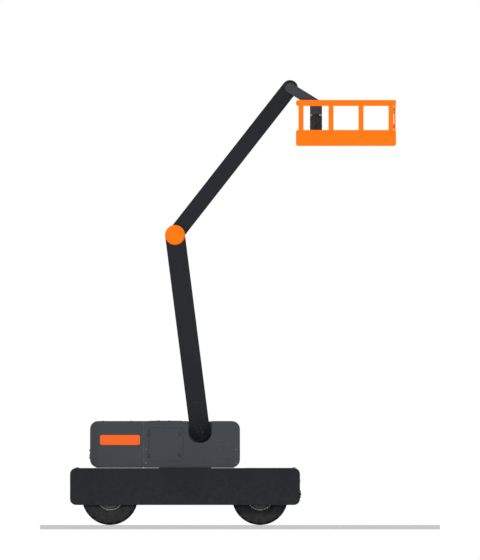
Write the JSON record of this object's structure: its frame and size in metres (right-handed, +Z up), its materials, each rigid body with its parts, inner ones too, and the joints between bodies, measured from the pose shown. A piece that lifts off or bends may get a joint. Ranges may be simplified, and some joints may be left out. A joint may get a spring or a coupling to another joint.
{
  "type": "articulating boom lift",
  "caption": "Self-propelled aerial work platform: two hinged booms and a short jib on a slewing turntable over a wheeled chassis, with a railed platform swung to one side.",
  "frame": {"origin": "on the ground under the middle of the outline", "axes": "+X the machine's front, +Y its far side in the picture (its left), +Z up"},
  "size_m": [7.4982, 2.5, 10.2354],
  "materials": {
    "dark_paint": "satin charcoal paint",
    "grey_paint": "satin slate grey paint",
    "orange_paint": "satin safety orange paint",
    "marker_lens": "glossy orange lens",
    "tyre_rubber": "matte black rubber",
    "machined_steel": "machined",
    "cast_iron": "as cast"
  },
  "bodies": {
    "chassis": {"chassis_shell": "dark_paint", "chassis_frame": "dark_paint", "slew_ring": "machined_steel", "rear_axle": "dark_paint", "front_axle": "dark_paint"},
    "wheel_rear_near": {"tyre_rear_near": "tyre_rubber", "rim_rear_near": "grey_paint"},
    "wheel_rear_far": {"tyre_rear_far": "tyre_rubber", "rim_rear_far": "grey_paint"},
    "knuckle_near": {"knuckle_near": "cast_iron"},
    "knuckle_far": {"knuckle_far": "cast_iron"},
    "wheel_front_near": {"tyre_front_near": "tyre_rubber", "rim_front_near": "grey_paint"},
    "wheel_front_far": {"tyre_front_far": "tyre_rubber", "rim_front_far": "grey_paint"},
    "tie_rod": {"tie_rod": "machined_steel"},
    "turntable": {"turntable_deck": "dark_paint", "counterweight": "grey_paint", "pedestal": "grey_paint", "engine_block": "cast_iron", "hood_near": "grey_paint", "hood_far": "grey_paint", "side_marker_near": "marker_lens", "side_marker_far": "marker_lens"},
    "door_near": {"door_near": "grey_paint"},
    "door_far": {"door_far": "grey_paint"},
    "lower_boom": {"lower_boom": "dark_paint", "foot_crank": "machined_steel"},
    "lift_barrel": {"lift_barrel": "dark_paint"},
    "lift_rod": {"lift_rod": "machined_steel"},
    "elbow": {"elbow_hub": "machined_steel", "elbow_cap_near": "orange_paint", "elbow_cap_far": "orange_paint"},
    "upper_boom": {"upper_boom": "dark_paint"},
    "tip_link": {"tip_hub": "machined_steel"},
    "jib": {"jib": "grey_paint", "level_pin": "machined_steel"},
    "head": {"platform_head": "grey_paint"},
    "platform": {"platform_post": "grey_paint", "platform_tray": "orange_paint", "guard_rail": "orange_paint", "control_console": "grey_paint"},
    "gate": {"platform_gate": "orange_paint"}
  },
  "joints": [
    {"name": "slew", "type": "hinge", "parent": "chassis", "child": "turntable", "pos_m": [-1.104, 0, 1.322], "axis": [0, 0, 1], "continuous": true},
    {"name": "lower_boom_lift", "type": "hinge", "parent": "turntable", "child": "lower_boom", "pos_m": [-0.759, 0, 2.162], "axis": [0, -1, 0], "range_deg": [-7, 75]},
    {"name": "elbow_level", "type": "hinge", "parent": "lower_boom", "child": "elbow", "pos_m": [-1.33415, 0, 6.67046], "axis": [0, 1, 0], "range_deg": [-7.5, 75.5]},
    {"name": "upper_boom_lift", "type": "hinge", "parent": "elbow", "child": "upper_boom", "pos_m": [-1.33415, 0, 6.67046], "axis": [0, 1, 0], "range_deg": [-20, 33]},
    {"name": "tip_level", "type": "hinge", "parent": "upper_boom", "child": "tip_link", "pos_m": [1.31125, 0, 10.05155], "axis": [0, -1, 0], "range_deg": [-20.5, 33.5]},
    {"name": "jib_lift", "type": "hinge", "parent": "tip_link", "child": "jib", "pos_m": [1.31125, 0, 10.05155], "axis": [0, -1, 0], "range_deg": [-25, 60]},
    {"name": "platform_level", "type": "hinge", "parent": "jib", "child": "head", "pos_m": [1.90916, 0, 9.68371], "axis": [0, 1, 0], "range_deg": [-25.5, 60.5]},
    {"name": "platform_rotate", "type": "hinge", "parent": "head", "child": "platform", "pos_m": [1.90916, 0, 9.68371], "axis": [0, 0, 1], "range_deg": [0, 180]},
    {"name": "gate_hinge", "type": "hinge", "parent": "platform", "child": "gate", "pos_m": [3.69916, -0.335, 8.82771], "axis": [0, 0, -1], "range_deg": [0, 90]},
    {"name": "lift_barrel_pivot", "type": "hinge", "parent": "turntable", "child": "lift_barrel", "pos_m": [0.041, 0, 1.85], "axis": [0, -1, 0], "range_deg": [-2, 14]},
    {"name": "lift_rod_slide", "type": "slide", "parent": "lift_barrel", "child": "lift_rod", "axis": [-0.9925, 0, 0.122], "range_m": [-0.44, 0.045]},
    {"name": "door_near_hinge", "type": "hinge", "parent": "turntable", "child": "door_near", "pos_m": [-1.9397, -1.168, 1.472], "axis": [0, 0, -1], "range_deg": [0, 110]},
    {"name": "door_far_hinge", "type": "hinge", "parent": "turntable", "child": "door_far", "pos_m": [-1.9397, 1.168, 1.472], "axis": [0, 0, 1], "range_deg": [0, 110]},
    {"name": "steer_far", "type": "hinge", "parent": "chassis", "child": "knuckle_far", "pos_m": [0.621, 0.56, 0.644], "axis": [0, 0, 1], "range_deg": [-20, 20]},
    {"name": "steer_near", "type": "hinge", "parent": "chassis", "child": "knuckle_near", "pos_m": [0.621, -0.56, 0.644], "axis": [0, 0, 1], "range_deg": [-20, 20]},
    {"name": "tie_rod_slide", "type": "slide", "parent": "chassis", "child": "tie_rod", "axis": [0, -1, 0], "range_m": [-0.104, 0.104]},
    {"name": "spin_rear_near", "type": "hinge", "parent": "chassis", "child": "wheel_rear_near", "pos_m": [-2.829, -0.99, 0.644], "axis": [0, 1, 0], "continuous": true},
    {"name": "spin_rear_far", "type": "hinge", "parent": "chassis", "child": "wheel_rear_far", "pos_m": [-2.829, 0.99, 0.644], "axis": [0, 1, 0], "continuous": true},
    {"name": "spin_front_near", "type": "hinge", "parent": "knuckle_near", "child": "wheel_front_near", "pos_m": [0.621, -0.8, 0.644], "axis": [0, 1, 0], "continuous": true},
    {"name": "spin_front_far", "type": "hinge", "parent": "knuckle_far", "child": "wheel_front_far", "pos_m": [0.621, 0.8, 0.644], "axis": [0, 1, 0], "continuous": true}
  ],
  "couplings": [
    {"joint": "elbow_level", "follows": "lower_boom_lift", "ratio": 1},
    {"joint": "lift_barrel_pivot", "follows": "lower_boom_lift", "ratio": 0.1788},
    {"joint": "lift_rod_slide", "follows": "lower_boom_lift", "m_per_rad": -0.3332},
    {"joint": "tip_level", "follows": "upper_boom_lift", "ratio": 1},
    {"joint": "platform_level", "follows": "jib_lift", "ratio": 1},
    {"joint": "steer_near", "follows": "steer_far", "ratio": 1},
    {"joint": "tie_rod_slide", "follows": "steer_far", "m_per_rad": 0.2939}
  ]
}
